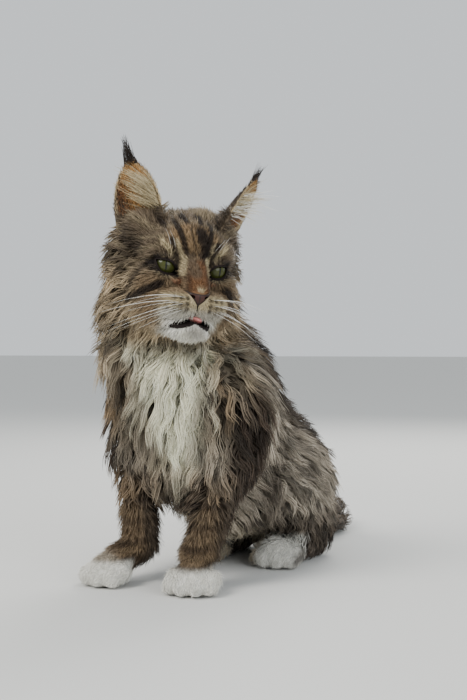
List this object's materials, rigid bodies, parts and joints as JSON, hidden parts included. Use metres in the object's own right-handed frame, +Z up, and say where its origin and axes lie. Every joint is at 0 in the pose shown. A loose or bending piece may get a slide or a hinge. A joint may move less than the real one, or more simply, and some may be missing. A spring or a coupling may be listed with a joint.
{
  "type": "sitting long-haired cat",
  "caption": "Life-size still model of a Maine Coon cat sitting upright, head turned to its left, with tufted ears, a deep ruff and its bushy tail curled on the floor.",
  "frame": {"origin": "middle of the flat under the rump, on the floor", "axes": "+Z up, -Y the way that the body faces, +X the cat's left side"},
  "size_m": [0.3081, 0.5944, 0.4706],
  "materials": {
    "brown_tabby": "long soft fur",
    "grey_brown": "long soft fur",
    "white_fur": "short dense fur",
    "buff_fur": "long shaggy fur",
    "ear_fur": "thin short fur",
    "eye_green": "wet and glossy",
    "nose_leather": "damp skin",
    "tongue_pink": "wet skin"
  },
  "bodies": {
    "root": {"head": "brown_tabby", "neck": "grey_brown", "torso": "brown_tabby", "tail_root": "brown_tabby", "tail_middle": "grey_brown", "tail_tip": "grey_brown", "foreleg_left": "grey_brown", "foreleg_right": "grey_brown", "forepaw_left": "white_fur", "forepaw_right": "white_fur", "hindleg_left": "buff_fur", "hindleg_right": "buff_fur", "hindpaw_left": "white_fur", "hindpaw_right": "white_fur", "ear_left": "ear_fur", "ear_right": "ear_fur", "eye_left": "eye_green", "eye_right": "eye_green", "nose": "nose_leather", "tongue": "tongue_pink"}
  },
  "joints": []
}
